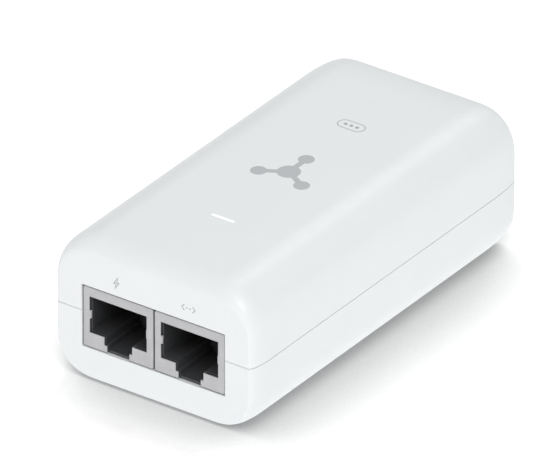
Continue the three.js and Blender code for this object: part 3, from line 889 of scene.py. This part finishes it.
def hub_mark():
    """A generic network mark: a hub joined to three stations."""
    place = on_top(0.5 * MM, -0.2 * MM)
    reach, station, hub, spoke = 5.7 * MM, 1.6 * MM, 2.3 * MM, 1.2 * MM
    patches = [disc((0, 0), hub, place, 40)]
    for i in range(3):
        angle = math.radians(90 + 120 * i)
        end = (reach * math.cos(angle), reach * math.sin(angle))
        patches += [stroke([(0, 0), end], spoke, place), disc(end, station, place)]
    printed("hub_mark", patches, GREY_INK)


def pill_mark():
    """A rounded outline with three dots in it."""
    place = on_top(0.1 * MM, 20.8 * MM)
    half, radius = 2.9 * MM, 1.4 * MM
    outline = arc((half - radius, 0), radius, -90, 90) + arc((radius - half, 0), radius, 90, 270)
    dots = [disc((i * 1.3 * MM, 0), 0.38 * MM, place, 16) for i in (-1, 0, 1)]
    printed("pill_mark", [stroke(outline, 0.17 * MM, place, True)] + dots, DARK_INK)


def bolt_icon():
    """An outlined lightning bolt over the jack that carries power."""
    shape = [(0.28, 1.2), (-0.58, -0.12), (-0.08, -0.12), (-0.28, -1.2), (0.58, 0.12), (0.08, 0.12)]
    line = [(x * MM, z * MM) for x, z in shape]
    place = on_front(middle("poe_jack_shield").x - 0.2 * MM, 23.1 * MM)
    printed("bolt_icon", [stroke(line, 0.17 * MM, place, True)], DARK_INK)


def link_icon():
    """Two chevrons with dots between them over the data jack."""
    place = on_front(middle("data_jack_shield").x - 0.05 * MM, 23.2 * MM)
    patches = []
    for side in (-1, 1):
        chevron = [(side * 0.95 * MM, 0.65 * MM), (side * 1.5 * MM, 0), (side * 0.95 * MM, -0.65 * MM)]
        patches += [stroke(chevron, 0.19 * MM, place), disc((side * 0.36 * MM, 0), 0.16 * MM, place, 14)]
    printed("link_icon", patches, DARK_INK)


hub_mark()
pill_mark()
bolt_icon()
link_icon()


# ---------------------------------------------------------------- CAD pieces that stay

INNER_LOOKS = {
    "black_plastic": BLACK, "led_phosphor": PHOSPHOR, "board_laminate": LAMINATE, "grey_film": FILM,
    "bright_metal": BRIGHT, "yellow_film": YELLOW_BOX, "green_coat": GREEN_COAT, "blue_coat": BLUE_COAT,
    "ferrite": FERRITE, "copper_wire": COPPER, "chip_black": CHIP, "capacitor_sleeve": SLEEVE,
    "heat_sink_aluminium": ALUMINIUM, "transformer_winding": TAPE,
}


def refine(node, material):
    """Replaces a CAD piece with a copy of the same size whose edges are rounded."""
    piece = link(f"{node}_body", frame["nodes"][node].data.copy())
    flatten(piece)
    soften(piece, min(0.2 * MM, min(size(node)) * 0.1))
    wear(piece, material)
    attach(piece, "case")
    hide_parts(node)


def inner_pieces():
    slot_of = {part["node"]: part["material_slot"] for part in frame["record"]["subparts"]}
    for node, cad in frame["nodes"].items():
        if not cad.hide_render:
            refine(node, INNER_LOOKS.get(node, INNER_LOOKS[slot_of[node]]))


inner_pieces()


# ---------------------------------------------------------------- floor, light and camera

FLOOR_WHITE, SHADOW_GREY, FLOOR_GLOW, FLOOR_GLOSS = 0.93, 0.31, 0.4, 0.09
# The shade on the floor falls to the right and the front, away from this direction. It reaches so
# far, and it runs from full to none between these shares of open space above the floor.
SHADE_LEAN = (-0.33, 0.32, 0.89)
SHADE_REACH, SHADE_FULL, SHADE_NONE = 26 * MM, 0.2, 0.9
SKY = 0.44
LAMP_DISTANCE, LAMP_TARGET = 1.4, (0, 0, 0.015)
# Each soft box: name, azimuth and elevation that it shines from, diameter in metres, watts, colour.
SOFTBOXES = [
    ("main_softbox", 43, 52, 0.9, 9.6, (1, 1, 1)),
    ("overhead_softbox", 0, 89, 1.2, 2.7, (1, 1, 1)),
    ("front_softbox", -4, 4, 0.19, 1.3, (1, 0.88, 0.93)),
    ("rear_softbox", 200, 45, 0.7, 2.6, (1, 1, 1)),
]


def studio_floor():
    """A pale, slightly glossy table, see-through from below so that the underside can be looked at."""
    reach = 6
    floor = mesh_object("studio_floor", [(-reach, -reach, 0), (reach, -reach, 0), (reach, reach, 0),
                                         (-reach, reach, 0)], [(0, 1, 2, 3)])
    material, nodes, links, shader, _ = new_material("pale_table")
    near = nodes.new("ShaderNodeAmbientOcclusion")
    near.samples = 8
    near.inputs["Distance"].default_value = SHADE_REACH
    lean = nodes.new("ShaderNodeCombineXYZ")
    for socket, part in zip(lean.inputs, SHADE_LEAN):
        socket.default_value = part
    links.new(lean.outputs["Vector"], near.inputs["Normal"])
    # The soft shade round the object is only seen; the light that the table throws back is even.
    shaded = ramp(nodes, links, near.outputs["AO"], SHADOW_GREY, FLOOR_WHITE, SHADE_FULL, SHADE_NONE)
    seen = nodes.new("ShaderNodeLightPath")
    paint = nodes.new("ShaderNodeMix")
    paint.data_type = "RGBA"
    paint.inputs["A"].default_value = (FLOOR_WHITE, FLOOR_WHITE, FLOOR_WHITE, 1)
    links.new(seen.outputs["Is Camera Ray"], paint.inputs["Factor"])
    links.new(shaded, paint.inputs["B"])
    links.new(paint.outputs["Result"], shader.inputs["Base Color"])
    links.new(paint.outputs["Result"], shader.inputs["Emission Color"])
    shader.inputs["Roughness"].default_value = 0.3
    shader.inputs["Specular IOR Level"].default_value = 0.0
    shader.inputs["Emission Strength"].default_value = FLOOR_GLOW
    sheen = nodes.new("ShaderNodeBsdfAnisotropic")
    sheen.inputs["Roughness"].default_value = 0.12
    glossed = nodes.new("ShaderNodeMixShader")
    glossed.inputs["Fac"].default_value = FLOOR_GLOSS
    side = nodes.new("ShaderNodeNewGeometry")
    clear = nodes.new("ShaderNodeBsdfTransparent")
    mix = nodes.new("ShaderNodeMixShader")
    links.new(shader.outputs["BSDF"], glossed.inputs[1])
    links.new(sheen.outputs["BSDF"], glossed.inputs[2])
    links.new(side.outputs["Backfacing"], mix.inputs["Fac"])
    links.new(glossed.outputs["Shader"], mix.inputs[1])
    links.new(clear.outputs["BSDF"], mix.inputs[2])
    links.new(mix.outputs["Shader"], nodes["Material Output"].inputs["Surface"])
    floor.data.materials.append(material)


def area_light(name, place, target, size_m, watts, colour):
    data = bpy.data.lights.new(name, "AREA")
    data.shape = "DISK"
    data.size = size_m
    data.energy = watts
    data.color = colour
    lamp = bpy.data.objects.new(name, data)
    scene.collection.objects.link(lamp)
    lamp.location = place
    lamp.visible_camera = False
    lamp.rotation_mode = "QUATERNION"
    lamp.rotation_quaternion = (Vector(target) - Vector(place)).to_track_quat("-Z", "Y")


def from_angle(azimuth, elevation, distance):
    a, e = math.radians(azimuth), math.radians(elevation)
    return Vector((math.sin(a) * math.cos(e), -math.cos(a) * math.cos(e), math.sin(e))) * distance


def studio_light():
    world = bpy.data.worlds.new("studio")
    scene.world = world
    world.use_nodes = True
    nodes, links = world.node_tree.nodes, world.node_tree.links
    lighting = nodes["Background"]
    lighting.inputs["Color"].default_value = (1, 1, 1, 1)
    lighting.inputs["Strength"].default_value = SKY
    backdrop = nodes.new("ShaderNodeBackground")
    backdrop.inputs["Color"].default_value = (1, 1, 1, 1)
    seen = nodes.new("ShaderNodeLightPath")
    mix = nodes.new("ShaderNodeMixShader")
    links.new(seen.outputs["Is Camera Ray"], mix.inputs["Fac"])
    links.new(lighting.outputs["Background"], mix.inputs[1])
    links.new(backdrop.outputs["Background"], mix.inputs[2])
    links.new(mix.outputs["Shader"], nodes["World Output"].inputs["Surface"])
    for name, azimuth, elevation, size_m, watts, colour in SOFTBOXES:
        place = from_angle(azimuth, elevation, LAMP_DISTANCE)
        area_light(name, place, LAMP_TARGET, size_m, watts, colour)


def photo_camera():
    """The product view: from the right of the jacks and well above them, through a long lens."""
    azimuth, elevation = math.radians(35.23), math.radians(30.01)
    distance, aim = 3851.5 * MM, Vector((-2.434, -0.540, 16.667)) * MM
    back = Vector((math.sin(azimuth) * math.cos(elevation),
                   -math.cos(azimuth) * math.cos(elevation), math.sin(elevation)))
    data = bpy.data.cameras.new("camera")
    data.sensor_width = 36
    data.lens = 1342.3
    data.clip_start, data.clip_end = 0.01, 100
    camera = bpy.data.objects.new("camera", data)
    scene.collection.objects.link(camera)
    camera.location = aim + back * distance
    camera.rotation_mode = "QUATERNION"
    camera.rotation_quaternion = (-back).to_track_quat("-Z", "Y")
    scene.camera = camera


studio_floor()
studio_light()
photo_camera()
